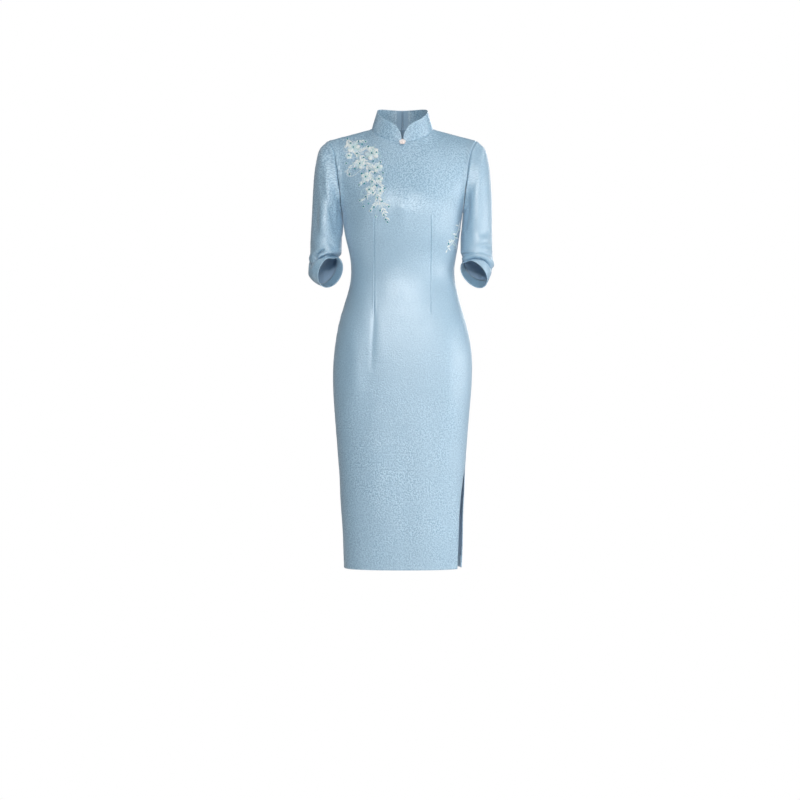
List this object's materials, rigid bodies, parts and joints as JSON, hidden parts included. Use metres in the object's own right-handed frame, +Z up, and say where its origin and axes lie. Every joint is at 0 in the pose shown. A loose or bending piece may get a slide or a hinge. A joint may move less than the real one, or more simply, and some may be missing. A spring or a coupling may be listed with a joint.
{
  "type": "cheongsam dress",
  "caption": "Knee-length fitted cheongsam in pale blue satin, worn form: stand collar with rounded front opening, elbow sleeves bent forward, side slits, back zip.",
  "frame": {"origin": "middle of the neck at the foot of the stand collar, where the wearer's shoulders carry the dress", "axes": "+Z up from hem to collar, -Y out of the front, +X towards the wearer's left arm"},
  "size_m": [0.4268, 0.2431, 1.0569],
  "materials": {
    "satin": "soft sheen crinkled jacquard satin",
    "pearl": "pearl",
    "zip_metal": "enamel matched to the cloth"
  },
  "bodies": {
    "dress": {"front_panel": "satin", "back_panel_left": "satin", "back_panel_right": "satin", "collar_left": "satin", "collar_right": "satin", "sleeve_left": "satin", "sleeve_right": "satin", "flower_button": "pearl", "zip_slider": "zip_metal"},
    "zip_tab": {"zip_tab": "zip_metal"}
  },
  "joints": [
    {"name": "zip_tab_hinge", "type": "hinge", "parent": "dress", "child": "zip_tab", "pos_m": [0, 0.05575, 0.04257], "axis": [1, 0, 0], "range_deg": [0, 170]}
  ]
}
